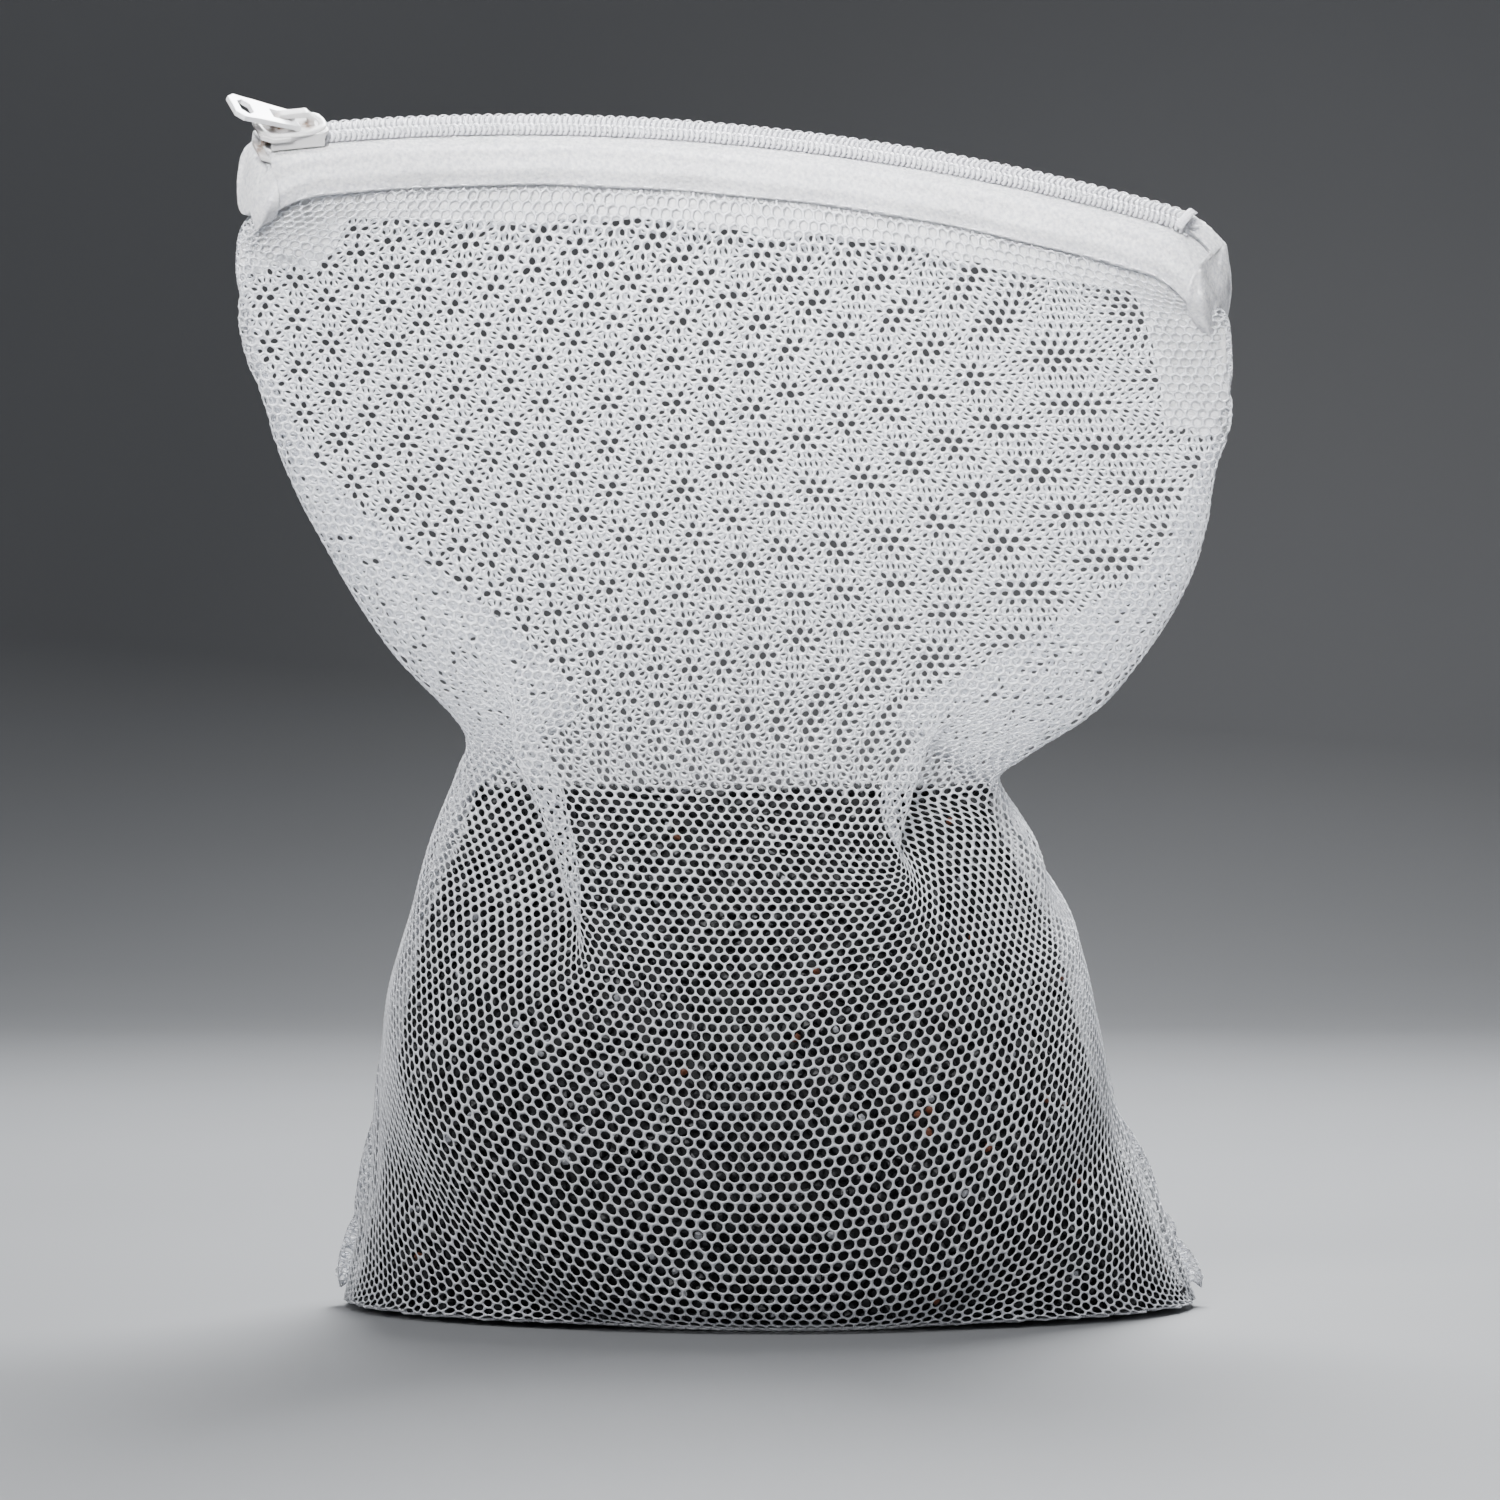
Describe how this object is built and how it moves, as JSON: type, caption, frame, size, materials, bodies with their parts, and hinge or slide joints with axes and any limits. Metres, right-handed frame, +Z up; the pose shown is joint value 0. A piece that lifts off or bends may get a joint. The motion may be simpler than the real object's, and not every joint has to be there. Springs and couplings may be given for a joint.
{
  "type": "mesh zip bag",
  "caption": "Small white net bag that stands on its filled lower half, pinched at a neck and closed along the top by a coil zip with a plastic slider and pull tab.",
  "frame": {"origin": "middle of the flat base, on the surface that the bag stands on", "axes": "+Z up, +X to the right seen from the front, along the flat width and the zip, +Y towards the back"},
  "size_m": [0.2019, 0.097, 0.2414],
  "materials": {
    "net": "white knitted hexagonal net of polyester yarn",
    "granules": "dark dry granules with a faint sparkle",
    "tape": "white woven zip tape",
    "coil": "white nylon monofilament coil",
    "cord": "white twisted filler cord",
    "slider": "white moulded plastic, a little soiled inside",
    "pull": "white moulded plastic",
    "thread": "white sewing thread"
  },
  "bodies": {
    "bag": {"net_base": "net", "net_front": "net", "net_back": "net", "granular_fill": "granules", "front_tape": "tape", "back_tape": "tape", "front_coil": "coil", "back_coil": "coil", "front_coil_cord": "cord", "back_coil_cord": "cord", "front_tape_stitches": "thread", "back_tape_stitches": "thread", "left_seam_stitches": "thread", "right_seam_stitches": "thread", "end_tack": "thread"},
    "slider": {"slider_body": "slider"},
    "pull": {"pull_tab": "pull"}
  },
  "joints": [
    {"name": "slider_travel", "type": "hinge", "parent": "bag", "child": "slider", "pos_m": [-0.01742, -0.17113, 0.10597], "axis": [-0.0785, 0.5736, -0.8154], "range_deg": [0, 44]},
    {"name": "pull_swing", "type": "hinge", "parent": "slider", "child": "pull", "pos_m": [-0.09503, -0.00364, 0.23641], "axis": [-0.3449, 0.7518, 0.562], "range_deg": [-17, 155]}
  ]
}
